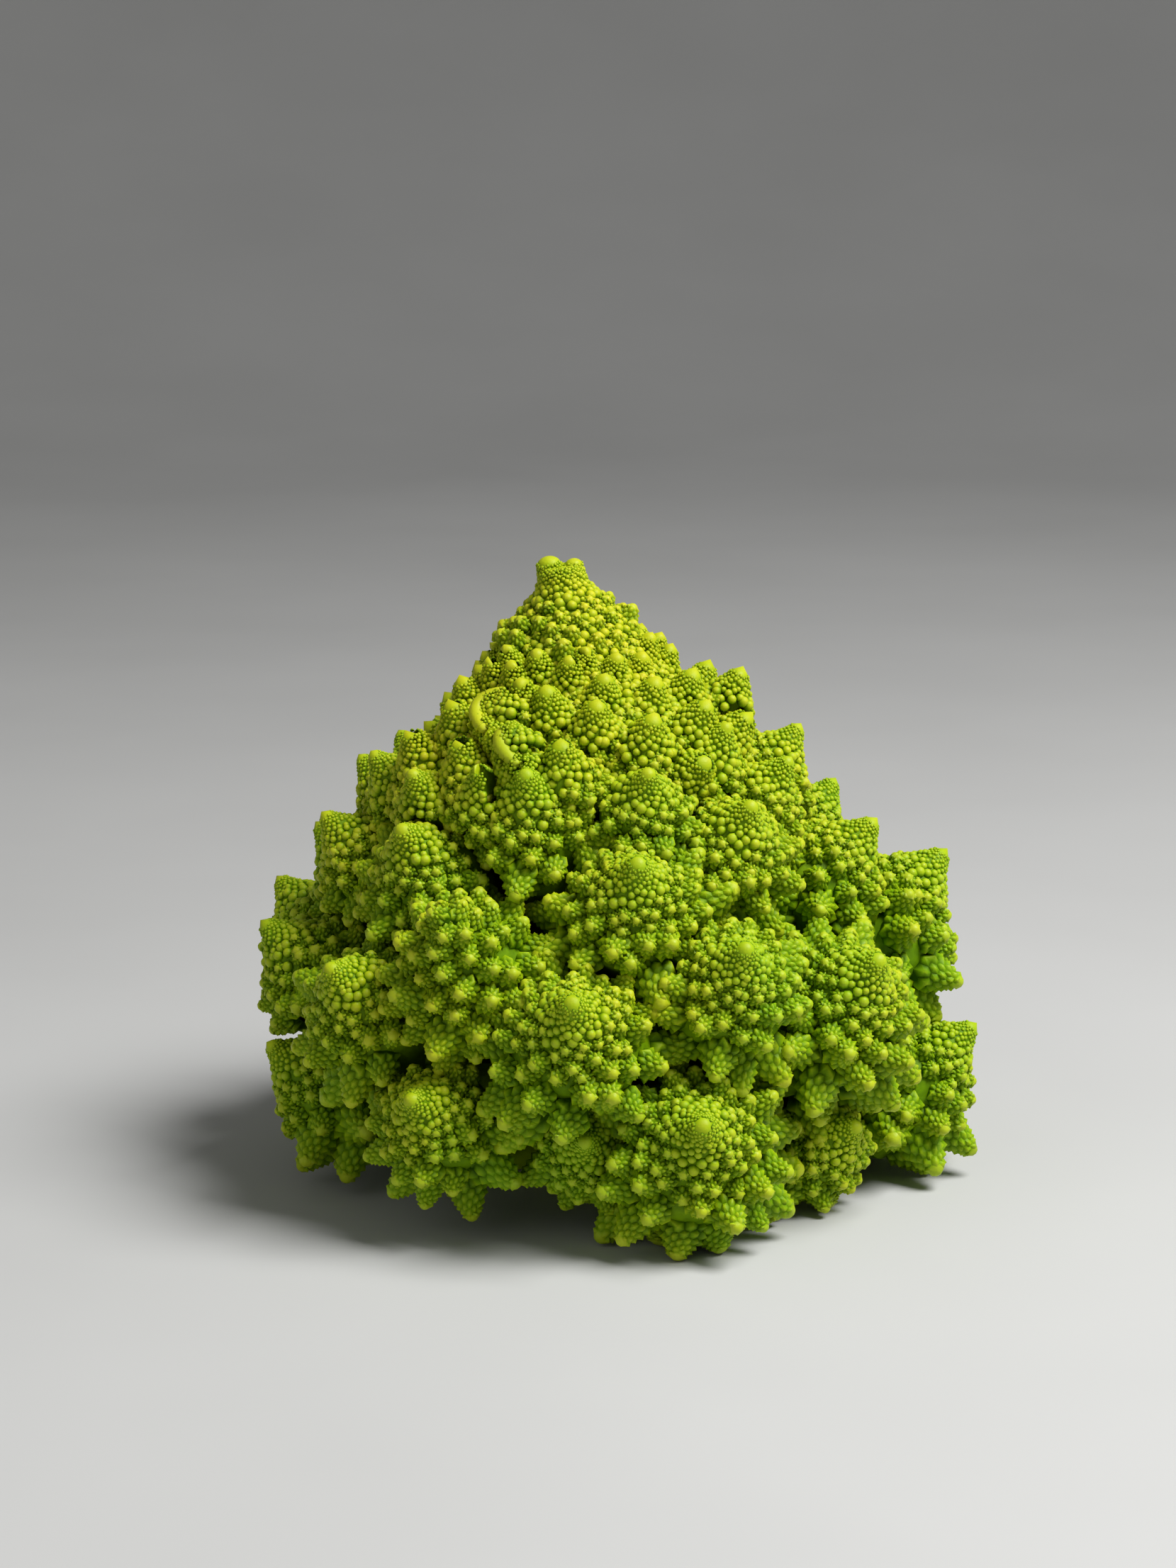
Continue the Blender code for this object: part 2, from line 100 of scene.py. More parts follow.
CROWN_BUDS = (  # the front ones: azimuth, height of the tip and how far it stands out
    (-5, 110, 0), (-40, 109, 0), (-66, 108, 0), (30, 114, 0), (10, 117, 0), (-12, 119.5, 0),
    (-26, 120.5, 0), (-64, 119, 0), (-56, 115, 0), (45, 120, 0), (18, 121.5, 0), (85, 119.5, 11),
    (105, 119, 4), (100, 113, 2), (-54, 123.5, 0), (-36, 123.5, 0), (1, 125, 0), (12, 126.5, 0),
    (32, 125, 0), (52, 124.5, 0), (85, 124.5, 2), (102, 126, 2), (-22, 126, 0), (-48, 126, 0),
    (-3, 128, 0), (-49, 129, 0), (47, 129, 0), (27, 129, 0), (6, 130.5, 0), (-14, 131, 0),
    (-30, 132, 0), (-56, 131.5, 0), (79, 130, 1), (83, 133, 1), (40, 132, 0), (14, 133, 0),
    (-6, 133, 0), (-24, 135, 0),
)

# What only the looks have.
NOSE, NOSE_GROWTH = 0.9, 0.055  # radius of a floret's smooth tip, and its share of the radius
BUD_AREA = 0.866  # that each bud takes, in squared spacings
BUD_NOSE = ((2.6, 0.95), (3.8, 1.1), (4.8, 1.22), (6.2, 1.35), (8.0, 1.55))  # radius by spacing
BUMP_SIZE = ((2.6, 0.90), (3.8, 0.98), (4.8, 1.03), (6.2, 1.10), (8.0, 1.18))  # likewise
BUMP_LIFT, BUMP_DIP = 0.36, 0.3  # height in spacings, and the depth between bumps in heights
BUMP_GROWTH = 0.17  # of a bump's spacing, for each millimetre down the bud
BUD_FOOT = ((0.8, 0.62), (2.0, 0.60), (4.0, 0.58), (8.0, 0.56))  # radius, in spacings
SIGHT_RAYS = ((0.7, 5), (1.3, 7))  # round the one straight out of a bud: their angle and number
LEAST_SIGHT = 2  # how many of all these have to get past every body
BODY_INSET = 1.6  # how far behind the buds a body keeps from its neighbours
FLOOR_GAP, BODY_FLOOR_GAP = 0.3, 0.5  # least height of a bud's points, and of a body's or stalk's
TIP_FLOOR_GAP, BUD_FLOOR_GAP = 0.6, 1.2  # least height of a bud's tip, and of its foot
WANDER = 0.12  # of a bud's place and size, in spacings
CROWN_SPACING = (  # by distance from the tip
    (4, 0.8), (6, 0.95), (8, 1.3), (10, 1.8), (13.4, 2.6), (16.6, 3.4), (23, 4.6), (29.3, 6.2),
    (39, 8.9), (48.5, 11.5), (64, 15),
)
CROWN_LIFT = 10.0  # how much steeper the crown's buds point up
CROWN_NARROW = 0.85  # how much narrower the cones of its small florets are
LARGEST_FILLER, FILLER_SHARE = 2.6, 0.62  # spacing of the buds between these: most, and in theirs
CROWDING = (1.0, 0.42), (0.45, 0.33)  # of spiral and fillers: step between places tried, and room
HORN_BUDS = 0.8  # their spacing
MINI_RADIUS = 0.62  # of a small floret on the crown, in spacings
MINI_NOSE = ((5, 1.45), (7, 1.8), (11, 2.2))  # radius of its smooth tip, by spacing
CROWN_TIP_SIZES = (  # spacing by depth of the tip below the apex
    (9, 2.9), (11, 3.5), (15, 4.7), (18.5, 6.2), (24, 8.9), (28, 10.5), (36, 13),
)
CREST_SIZE, CREST_EDGE, CREST_SINK = 8.0, 1.8, 2.2  # a ridge's width, its radius and depth
CREST_BOW, CREST_FAN, CREST_TIPS = 0.5, 0.6, 7  # how its tips turn outwards, and their number
FUSED = ("floret_22",)  # has no tip of its own, only buds
FUSED_SPACING, FUSED_GROWTH = 4.2, 0.1  # of these buds, at the tip and for each millimetre from it
SMALL_FLORET = 5.2  # crown buds spaced wider than this carry buds of their own
STEM_RIB = 0.35  # height of the stem's low ribs

rng = np.random.default_rng(5)


def between(value, table):
    """The second column of a table of pairs, at this value of the first."""
    first, second = zip(*table)
    return np.interp(value, first, second)


def lean(height):
    """Where the head's axis is along X at this height."""
    return -LEAN * max(0.0, height - LEAN_FROM) / (APEX_HEIGHT - LEAN_FROM)


def outward(azimuth):
    return Vector((math.sin(azimuth), -math.cos(azimuth), 0.0))


def on_axis(height):
    return Vector((lean(height), 0.0, height))


def in_stem(height):
    """The middle of the stem at this height."""
    top = STEM_PROFILE[-1][0]
    return Vector((lean(top) * height / top, 0.0, height))


def on_stem(azimuth, height):
    return in_stem(height) + outward(azimuth) * float(between(height, STEM_PROFILE))


def axis_rise(azimuth, height):
    """How steeply a floret at this place points upwards."""
    rise = float(between(height, RISE)) + TILT * math.sin(azimuth)
    rise += LOW_SIDE_RISE * math.sin(azimuth) ** 2 * max(0.0, 1.0 - height / LOW_SIDE_TOP)
    return math.radians(rise)


class Branch:
    """A floret or the crown: where its tip is, which way it points and where its stalk starts."""

    def __init__(self, tip, axis, root, root_face, radius, turn):
        self.tip = tip
        self.axis = axis
        self.root = root
        self.root_face = root_face
        self.radius = radius
        self.turn = turn
        self.rotation = axis.to_track_quat("Z", "Y")
        self.head = tip - axis * radius * HEAD_DEPTH

    def local(self, point):
        return self.rotation.inverted() @ (point - self.tip)

    def to_world(self, points):
        return points @ np.array(self.rotation.to_matrix()).T + np.array(self.tip)

    def turned(self, directions):
        return directions @ np.array(self.rotation.to_matrix()).T


def make_floret(number, azimuth, height, reach, radius):
    """The floret of one row of FLORETS."""
    azimuth = math.radians(azimuth)
    tip = on_axis(height) + outward(azimuth) * (float(between(height, TIP_OUTLINE)) + reach)
    facing = azimuth - SIDE_FLATNESS * math.sin(2.0 * azimuth)
    rise = axis_rise(azimuth, height)
    axis = outward(facing) * math.cos(rise) + Vector((0.0, 0.0, math.sin(rise)))
    level = float(between(height, ROOT_HEIGHT))
    root = on_stem(azimuth, level)
    up = on_stem(azimuth, level + 2.0) - on_stem(azimuth, level - 2.0)
    side = outward(azimuth)
    face = (side * up.z - Vector((0.0, 0.0, up.dot(side)))).normalized()
    return Branch(tip, axis, root, face, radius, number * GOLDEN_ANGLE)


def make_crown():
    top, below = on_axis(APEX_HEIGHT), on_axis(APEX_HEIGHT - 30.0)
    foot = in_stem(STEM_PROFILE[-1][0])
    return Branch(top, (top - below).normalized(), foot, Vector((0, 0, 1)), CROWN_RADIUS, 0.0)


def plane_between(branch, other):
    """The flat face where two neighbours press against each other: a point and the normal."""
    share = branch.radius / (branch.radius + other.radius)
    heads = branch.head.lerp(other.head, share)
    roots = branch.root.lerp(other.root, share)
    along = (heads - roots).normalized()
    apart = other.head - branch.head
    normal = (apart - along * apart.dot(along)).normalized()
    return np.array(heads), np.array(normal)


class Profile:
    """A curve from the tip outwards: distance from the axis, and depth below the tip."""

    def __init__(self, points):
        self.out, self.down = np.array(points, float).T
        steps = np.hypot(np.diff(self.out), np.diff(self.down))
        self.along = np.concatenate(([0.0], np.cumsum(steps)))
        self.length = float(self.along[-1])
        # Laid out flat at these radii, the surface keeps its angles.
        growth = steps[1:] / (0.5 * (self.out[1:-1] + self.out[2:]))
        flat_radius = self.out[1] * np.exp(np.append(0.0, np.cumsum(growth)))
        self.flat_radius = np.concatenate(([0.0], flat_radius))

    def at(self, along):
        return np.interp(along, self.along, self.out), np.interp(along, self.along, self.down)

    def flat(self, along, turn):
        """A place on the surface laid out flat."""
        radius = float(np.interp(along, self.along, self.flat_radius))
        return Vector((radius * math.cos(turn), radius * math.sin(turn)))

    def unflat(self, spot):
        """Distance along and turn of a spot on the flat surface."""
        along = float(np.interp(spot.length, self.flat_radius, self.along))
        return along, math.atan2(spot.y, spot.x)

    def slope(self, along):
        """The unit normal: how much it points outwards and upwards."""
        reach = 0.02 * self.length
        out_before, down_before = self.at(np.maximum(along - reach, 0.0))
        out_after, down_after = self.at(np.minimum(along + reach, self.length))
        rise, fall = out_after - out_before, down_after - down_before
        size = np.hypot(rise, fall)
        return fall / size, rise / size

    def points(self, along, turn, lift=0.0):
        """Points of the turned surface, raised along its normal."""
        out, down = self.at(along)
        sideways, upwards = self.slope(along)
        out = out + lift * sideways
        x, y, z = np.broadcast_arrays(out * np.cos(turn), out * np.sin(turn), lift * upwards - down)
        return np.stack((x, y, z), axis=-1)


def floret_nose(radius):
    """The radius of a floret's smooth tip."""
    return NOSE + NOSE_GROWTH * radius


def first_bud(nose):
    """How far from the tip the first buds show."""
    return 1.3 * nose + 0.3


def floret_profile(radius, nose, narrow=1.0):
    """A cone that flares from a smooth tip, rounds off at its widest and turns under."""
    step = 0.2
    start = math.radians(CONE_ANGLE[0][1]) * narrow
    points = []
    for lean_in in np.linspace(math.pi / 2.0, start, 6):
        points.append((nose * math.cos(lean_in), nose * (1.0 - math.sin(lean_in))))
    out, down = points[-1]
    along = nose * (math.pi / 2.0 - start)
    while out < ROUNDS_FROM * radius:
        angle = math.radians(float(between(along, CONE_ANGLE))) * narrow
        out, down, along = out + step * math.sin(angle), down + step * math.cos(angle), along + step
        points.append((out, down))
    last = math.degrees(angle)
    turn_length = (radius - out) * math.radians(last) / (1.0 - math.cos(math.radians(last)))
    count = max(3, int(turn_length * (last + UNDERCUT) / last / step))
    for angle in np.radians(np.linspace(last, -UNDERCUT, count)):
        pace = turn_length * (last + UNDERCUT) / last / count
        out, down = out + pace * math.sin(angle), down + pace * math.cos(angle)
        points.append((out, down))
    more = UNDERSIDE * radius
    points.append((out + more * math.sin(angle), down + more * math.cos(angle)))
    return Profile(points)


def cap_profile(radius):
    """A blunt round end on a short column."""
    points = []
    for lean_in in np.linspace(math.pi / 2.0, 0.0, 9):
        points.append((radius * math.cos(lean_in), 0.75 * radius * (1.0 - math.sin(lean_in))))
    points.append((1.05 * radius, 2.2 * radius))
    return Profile(points)


def bud_places(profile, turn, spacing_at, start=1.0):
    """Every bud of a spiral that fills the profile: distance along, turn and spacing."""
    along = np.linspace(start, profile.length, 400)
    density = 2.0 * math.pi * profile.at(along)[0] / (BUD_AREA * spacing_at(along) ** 2)
    steps = 0.5 * (density[1:] + density[:-1]) * np.diff(along)
    count = np.concatenate(([0.0], np.cumsum(steps)))
    numbers = np.arange(int(count[-1]))
    places = np.interp(numbers, count, along)
    return places, turn + numbers * GOLDEN_ANGLE, spacing_at(places)


def floret_spacing(radius):
    """The spacing of the buds along a floret of this radius, as a function."""
    stretch = float(between(radius, BUD_STRETCH))
    return lambda along: between(along / stretch, BUD_SIZES)


# Shapes: points and triangles. A bud's points have five columns: x and y in spacings, z in heights,
# how far the point stands out of the crevices (0 to 1), which the colour turns into painted shade and
# light, and whether it is the top of a bump.


def ring_faces(rings, sides, start=0):
    """Triangles between rings of points that follow each other."""
    here = np.arange(sides)
    after = (here + 1) % sides
    faces = []
    for ring in range(rings - 1):
        upper, lower = start + ring * sides, start + (ring + 1) * sides
        faces.append(np.stack((upper + here, lower + here, lower + after), axis=-1))
        faces.append(np.stack((upper + here, lower + after, upper + after), axis=-1))
    return np.concatenate(faces)


def turned_shape(profile, sides, steps):
    """A surface of revolution, open at its far end."""
    along = profile.length * np.linspace(0.0, 1.0, steps + 1)[1:]
    turn = np.linspace(0.0, 2.0 * math.pi, sides, endpoint=False)
    rings = profile.points(along[:, None], turn[None, :])
    points = np.concatenate((np.array([[0.0, 0.0, -profile.down[0]]]), rings.reshape(-1, 3)))
    here = np.arange(sides)
    fan = np.stack((0 * here, 1 + here, 1 + (here + 1) % sides), axis=-1)
    return points, np.concatenate((fan, ring_faces(steps, sides, 1)))


def bud_profile(size, nose):
    """A ball of this radius on a cone as wide as half the spacing, with a sunken skirt."""
    height = size * float(between(size, BUD_RISE))
    foot = size * float(between(size, BUD_FOOT))
    angle = 0.0
    while foot - nose * math.cos(angle) > (height - nose * (1.0 - math.sin(angle))) * math.tan(angle):
        angle += 0.01
    points = []
    for lean_in in np.linspace(math.pi / 2.0, angle, 7):
        points.append((nose * math.cos(lean_in), nose * (1.0 - math.sin(lean_in))))
    points += [(foot, height), (0.9 * foot, height + 0.3 * size)]
    return Profile(points), nose * (math.pi / 2.0 - angle), height


def plain_bud(size, sides, steps):
    """A smooth dome. Points are in spacings across and heights up."""
    nose = size * min(float(between(size, BUD_FOOT)), float(between(size, BUD_RISE)))
    profile, _, height = bud_profile(size, 0.97 * nose)
    points, faces = turned_shape(profile, sides, steps)
    return in_units(points, size, height), faces


def bumpy_bud(size, sides):
    """A bud with a smooth top, and below it the bumps that it bears."""
    profile, top, height = bud_profile(size, float(between(size, BUD_NOSE)))
    start = float(between(size, BUMP_SIZE))
    spacing_at = lambda along: start + BUMP_GROWTH * (along - top)
    places, turns, sizes = bud_places(profile, 0.0, spacing_at, top + 0.2 * start)
    keep = places < profile.length - 0.24 * size
    rings = [(0.45 * top, 0.0, 6), (0.9 * top, 0.3, 8), (profile.length, 0.0, sides)]
    spots = [(0.0, 0.0, 0.0)]
    for along, shift, count in rings:
        spots += [(along, shift + 2.0 * math.pi * n / count, 0.0) for n in range(count)]
    spots += list(zip(places[keep], turns[keep], BUMP_LIFT * sizes[keep]))
    flats = [profile.flat(a, t) for a, t, _ in spots]
    for corners in triangles(flats):
        lifts = [spots[c][2] for c in corners]
        if sum(lift > 0.0 for lift in lifts) >= 2:
            dip = sum((flats[c] for c in corners), Vector((0.0, 0.0))) / 3.0
            spots.append((*profile.unflat(dip), -BUMP_DIP * max(lifts)))
    along, turn, lift = np.array(spots).T
    points = profile.points(along, turn, lift)
    faces = np.array(triangles([profile.flat(a, t) for a, t in zip(along, turn)]))
    shape = in_units(points, size, height)
    low = shape[:, 3]
    # Painted light and shade: the bumps' tops lighter, the dips between them dark, all darker towards
    # the bud's foot, and the smooth top fully light.
    shape[:, 3] = np.where(lift > 0.0, 0.55 + 0.35 * low, np.where(lift < 0.0, 0.45 * low, low))
    shape[along < top, 3] = 1.0
    shape[:, 4] = lift > 0.0
    return shape, faces


def in_units(points, size, height):
    """The points as a bud's five columns, with no bump."""
    scaled = points / np.array([size, size, height]) + np.array([0.0, 0.0, 1.0])
    # The fourth column is lighter up the bud and darker at its foot: painted shade.
    return np.column_stack((scaled, np.clip(scaled[:, 2], 0.0, 1.0), 0.0 * scaled[:, 2]))


def triangles(points):
    """Triangles that join these flat points."""
    return delaunay_2d_cdt(points, [], [], 0, 1e-7)[2]


BUD_SHAPES = (  # up to this spacing, this shape
    (1.0, plain_bud(0.8, 6, 2)),
    (1.5, plain_bud(1.3, 6, 2)),
    (2.0, plain_bud(1.8, 7, 3)),
    (2.6, plain_bud(2.3, 8, 3)),
    (3.4, bumpy_bud(3.0, 10)),
    (4.4, bumpy_bud(3.9, 12)),
    (5.6, bumpy_bud(5.0, 12)),
    (7.0, bumpy_bud(6.2, 14)),
    (99.0, bumpy_bud(8.0, 16)),
)


class Surface:
    """Gathers shapes into one mesh."""

    def __init__(self):
        self.points, self.faces, self.values = [], [], []
        self.size = 0

    def add(self, points, faces, rise, tone, bead=0.0):
        """rise, tone and bead are one value, or one for each point."""
        self.points.append(points)
        self.faces.append(faces + self.size)
        ones = np.ones(len(points))
        self.values.append(np.stack((rise * ones, tone * ones, bead * ones), axis=-1))
        self.size += len(points)

    def finish(self, name, material, *nodes):
        points = np.concatenate(self.points) * MM
        faces = np.concatenate(self.faces).astype(np.int32)
        values = np.concatenate(self.values).astype(np.float32)
        mesh = bpy.data.meshes.new(name)
        mesh.vertices.add(len(points))
        mesh.vertices.foreach_set("co", points.astype(np.float32).ravel())
        mesh.loops.add(faces.size)
        mesh.loops.foreach_set("vertex_index", faces.ravel())
        mesh.polygons.add(len(faces))
        mesh.polygons.foreach_set("loop_start", np.arange(0, faces.size, 3, dtype=np.int32))
        mesh.polygons.foreach_set("loop_total", np.full(len(faces), 3, dtype=np.int32))
        mesh.polygons.foreach_set("use_smooth", np.ones(len(faces), dtype=bool))
        for column, label in enumerate(("rise", "tone", "bead")):
            layer = mesh.attributes.new(label, "FLOAT", "POINT")
            layer.data.foreach_set("value", np.ascontiguousarray(values[:, column]))
        mesh.update(calc_edges=True)
        mesh.validate()
        mesh.materials.append(material)
        piece = bpy.data.objects.new(name, mesh)
        bpy.context.collection.objects.link(piece)
        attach(piece, "root")
        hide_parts(*nodes)
        return piece


SLANT = np.array([0.31, 0.22, 0.92])  # no bud points this way


def unit(vectors):
    return vectors / np.linalg.norm(vectors, axis=-1, keepdims=True)


def add_buds(surface, centres, directions, sizes, heights):
    """A bud at each centre, in the shape that suits its size."""
    tones = rng.random(len(sizes))
    spins = rng.random(len(sizes)) * 2.0 * math.pi
    least = 0.0
    for most, (points, faces) in BUD_SHAPES:
        chosen = (sizes > least) & (sizes <= most)
        least = most
        if not chosen.any():
            continue
        up = directions[chosen]
        aside = unit(np.cross(up, SLANT))
        across = np.cross(up, aside)
        cosine, sine = np.cos(spins[chosen])[:, None], np.sin(spins[chosen])[:, None]
        first = aside * cosine + across * sine
        second = across * cosine - aside * sine
        size = sizes[chosen][:, None, None]
        tall = heights[chosen][:, None, None]
        made = centres[chosen][:, None, :]
        made = made + size * points[None, :, 0, None] * first[:, None, :]
        made = made + size * points[None, :, 1, None] * second[:, None, :]
        made = made + tall * points[None, :, 2, None] * up[:, None, :]
        made[:, :, 2] = np.maximum(made[:, :, 2], FLOOR_GAP)
        number, each = made.shape[:2]
        shifted = faces[None] + each * np.arange(number)[:, None, None]
        surface.add(
            made.reshape(-1, 3),
            shifted.reshape(-1, 3),
            np.tile(points[:, 3], number),
            np.repeat(tones[chosen], each),
            np.tile(points[:, 4], number),
        )


def dress(surface, branch, profile, places, rivals, first, lift=0.15):
    """Covers a branch's head in buds, leaving out those that are buried or out of sight."""
    along, turn, size = places
    count = len(along)
    size = size * (1.0 + WANDER * rng.standard_normal(count).clip(-1.8, 1.8))
    around = np.maximum(profile.at(along)[0], 0.5)
    turn = turn + WANDER * rng.standard_normal(count) * size / around
    along = along + WANDER * rng.standard_normal(count) * size
    shows = (along > first) & (along < profile.length - 0.1)
    along, turn, size = along[shows], turn[shows], size[shows]
    base = profile.points(along, turn)
    direction = profile.points(along, turn, 1.0) - base + np.array([0.0, 0.0, lift])
    direction = unit(direction + 0.08 * rng.standard_normal(base.shape))
    height = size * between(size, BUD_RISE)
    centre, direction = branch.to_world(base), branch.turned(direction)
    keep = centre[:, 2] > BUD_FLOOR_GAP
    room = np.full(len(along), 99.0)
    for other in rivals:
        point, normal = plane_between(branch, other)
        room = np.minimum(room, (point - centre) @ normal)
    keep &= room > -0.3 * size
    # Nothing reaches through the floor.
    tip = centre + direction * height[:, None]
    allowed = (centre[:, 2] - TIP_FLOOR_GAP) / np.maximum(centre[:, 2] - tip[:, 2], 1e-3)
    height = np.where(tip[:, 2] < TIP_FLOOR_GAP, height * np.clip(allowed, 0.1, 1.0), height)
    keep[keep] = in_sight(centre[keep], direction[keep], height[keep])
    add_buds(surface, centre[keep], direction[keep], size[keep], height[keep])


def in_sight(centres, directions, heights):
    """Whether enough rays from each bud's tip get past every body."""
    seen = []
    for centre, direction, height in zip(centres, directions, heights):
        up = Vector(direction)
        start = Vector(centre) + up * (height + 0.5)
        aside = up.orthogonal().normalized()
        across = up.cross(aside)
        rays = [up]
        for tilt, count in SIGHT_RAYS:
            for n in range(count):
                turn = 2.0 * math.pi * n / count + tilt
                away = aside * math.cos(turn) + across * math.sin(turn)
                rays.append(up * math.cos(tilt) + away * math.sin(tilt))
        free = sum(bodies.ray_cast(start, ray, 200.0)[0] is None for ray in rays)
        seen.append(free >= LEAST_SIGHT)
    return np.array(seen, dtype=bool)


def near(branch, everything, reach=2.6):
    """The branches close enough to press against this one."""
    found = []
    for other in everything:
        gap = (other.head - branch.head).length
        if other is not branch and gap < reach * (branch.radius + other.radius):
            found.append(other)
    return found


def pressed(points, branch, rivals):
    """The points, moved back to where a neighbour or the floor begins."""
    for other in rivals:
        point, normal = plane_between(branch, other)
        beyond = np.maximum((points - point) @ normal + BODY_INSET, 0.0)
        points = points - beyond[:, None] * normal
    points[:, 2] = np.maximum(points[:, 2], BODY_FLOOR_GAP)
    return points


def add_body(surface, branch, profile, rivals, sides, steps):
    """The smooth body under the buds, with painted shade that darkens it further down from its tip."""
    points, faces = turned_shape(profile, sides, steps)
    # Painted shade: darker further below the tip, down to a floor of 0.2.
    rise = np.clip(1.0 + points[:, 2] / 4.0, 0.2, 1.0)
    world = pressed(branch.to_world(points), branch, rivals)
    surface.add(world, faces, rise, 0.5)
    return world, faces


def add_stalk(surface, branch, profile, foot_radius, sides=28, rings=9):
    """The ribbed underside, and the stalk that bends from the cone's axis to the stem."""
    out, down = profile.at(profile.length)
    start = Vector((0.0, 0.0, -float(down) - 0.3 * branch.radius))
    end = branch.local(branch.root)
    inward = branch.rotation.inverted() @ -branch.root_face
    reach = (end - start).length / 3.0
    bends = (start, start - Vector((0.0, 0.0, reach)), end - inward * reach, end + inward * 2.0)
    neck = max(foot_radius, 0.5 * float(out))
    turn = np.linspace(0.0, 2.0 * math.pi, sides, endpoint=False)
    rim = profile.points(np.full(sides, profile.length), turn)
    # Painted shade on the stalk: darkest at the cone's rim, lighter towards the stem.
    loops, stalk_shade_rises = [rim], [0.0]
    ribs = 5 + int(branch.radius / 5.0)
    for step in np.linspace(0.0, 1.0, rings):
        left = 1.0 - step
        weights = (left**3, 3.0 * left**2 * step, 3.0 * left * step**2, step**3)
        centre = sum((bend * weight for bend, weight in zip(bends, weights)), Vector())
        slopes = (left**2, 2.0 * left * step, step**2)
        pairs = zip(bends, bends[1:])
        direction = sum(((b - a) * slope for (a, b), slope in zip(pairs, slopes)), Vector())
        direction.normalize()
        radius = neck + (foot_radius - neck) * step
        across = (Vector((1.0, 0.0, 0.0)) - direction * direction.x).normalized()
        up = np.array(across.cross(direction))
        ribbed = radius * (1.0 + 0.14 * left**2 * np.cos(ribs * turn))
        spokes = np.cos(turn)[:, None] * np.array(across) + np.sin(turn)[:, None] * up
        loops.append(np.array(centre) + ribbed[:, None] * spokes)
        stalk_shade_rises.append(0.3 + 0.4 * step)
    points = branch.to_world(np.concatenate(loops))
    points[:, 2] = np.maximum(points[:, 2], BODY_FLOOR_GAP)
    surface.add(points, ring_faces(len(loops), sides), np.repeat(stalk_shade_rises, sides), 0.5)


def crown_spacing(along):
    return between(along, CROWN_SPACING)


def grow_florets(florets, everything):
    """Each floret's surface with its body and stalk, and what is needed to dress it."""
    grown = []
    for number, floret in enumerate(florets, 1):
        surface = Surface()
        profile = floret_profile(floret.radius, floret_nose(floret.radius))
        rivals = near(floret, everything)
        shells.append(add_body(surface, floret, profile, rivals, 36, 18))
        add_stalk(surface, floret, profile, max(LEAST_STALK, STALK * floret.radius))
        grown.append((f"floret_{number:02d}", floret, surface, profile, rivals))
    return grown


def fused_spacing(along):
    return FUSED_SPACING + FUSED_GROWTH * along


def dress_florets(grown, material):
    for name, floret, surface, profile, rivals in grown:
        if name in FUSED:
            spacing_at, first = fused_spacing, -1.0
        else:
            spacing_at = floret_spacing(floret.radius)
            first = first_bud(floret_nose(floret.radius))
        places = bud_places(profile, floret.turn, spacing_at)
        dress(surface, floret, profile, places, rivals, first)
        surface.finish(f"{name}_buds", material, name)


def crown_tip(azimuth, height, reach=0.0):
    """Where a crown bud's tip is, and which way the bud points."""
    side = outward(math.radians(azimuth))
    rise = axis_rise(math.radians(azimuth), height)
    tip = on_axis(height) + side * (float(between(height, TIP_OUTLINE)) + reach)
    rise += math.radians(CROWN_LIFT)
    return tip, side * math.cos(rise) + Vector((0.0, 0.0, math.sin(rise)))


def crown_bud_size(height):
    """The spacing of the buds whose tips are at this height."""
    return float(between(APEX_HEIGHT - height, CROWN_TIP_SIZES))


def filler_spacing(along):
    return np.minimum(FILLER_SHARE * crown_spacing(along), LARGEST_FILLER)


def horn_spacing(along):
    return np.full(np.shape(along), HORN_BUDS)


def crown_places(crown, profile, taken):
    """The spiral of the crown where the listed buds leave it room, and smaller fillers."""
    spots = [np.array(crown.local(centre)) for centre, _ in taken]
    sizes = [size for _, size in taken]
    found = []
    for spacing_at, (dense, room) in zip((crown_spacing, filler_spacing), CROWDING):
        lattice = bud_places(profile, 0.0, lambda along: dense * spacing_at(along))
        for along, turn, _ in zip(*lattice):
            size = float(spacing_at(along))
            spot = profile.points(along, turn)
            apart = np.linalg.norm(np.array(spots) - spot, axis=1)
            if (apart > room * (size + np.array(sizes))).all():
                spots.append(spot)
                sizes.append(size)
                found.append((along, turn, size))
    return np.array(found).T


def crown_mini(crown, tip, axis, size, turn):
    """A small floret on the crown."""
    return Branch(tip, axis, crown.root, crown.root_face, MINI_RADIUS * size, turn)


def placed_on_crown(crown):
    """The crown's small florets and single buds with a place of their own, and where they all are."""
    minis, single, taken = [], [], []
    for azimuth, height, reach in CROWN_BUDS:
        size = crown_bud_size(height)
        tip, axis = crown_tip(azimuth, height, reach)
        rise = size * (1.0 if size > SMALL_FLORET else float(between(size, BUD_RISE)))
        taken.append((tip - axis * rise, size))
        if size > SMALL_FLORET:
            minis.append(crown_mini(crown, tip, axis, size, azimuth))
        else:
            single.append((tip - axis * rise, axis, size))
    for crest in CRESTS:
        for tip, axis in crest_tips(crest, np.linspace(0.0, 1.0, CREST_TIPS)):
            minis.append(crown_mini(crown, tip, axis, CREST_SIZE, tip.x))
            taken.append((tip - axis * CREST_SIZE, CREST_SIZE))
    return minis, single, taken


def spiral_minis(crown, profile, places, rivals):
    """The small florets of the crown's spiral that are not behind a floret."""
    planes = [plane_between(crown, other) for other in rivals]
    minis = []
    for along, turn, size in zip(*places):
        base = profile.points(along, turn)
        direction = unit(profile.points(along, turn, 1.0) - base + np.array([0.0, 0.0, 0.8]))
        axis = Vector(crown.turned(direction))
        centre = Vector(crown.to_world(base))
        if all((np.array(centre) - point) @ normal < 0.5 * size for point, normal in planes):
            minis.append(crown_mini(crown, centre + axis * 0.8 * size, axis, size, turn))
    return minis


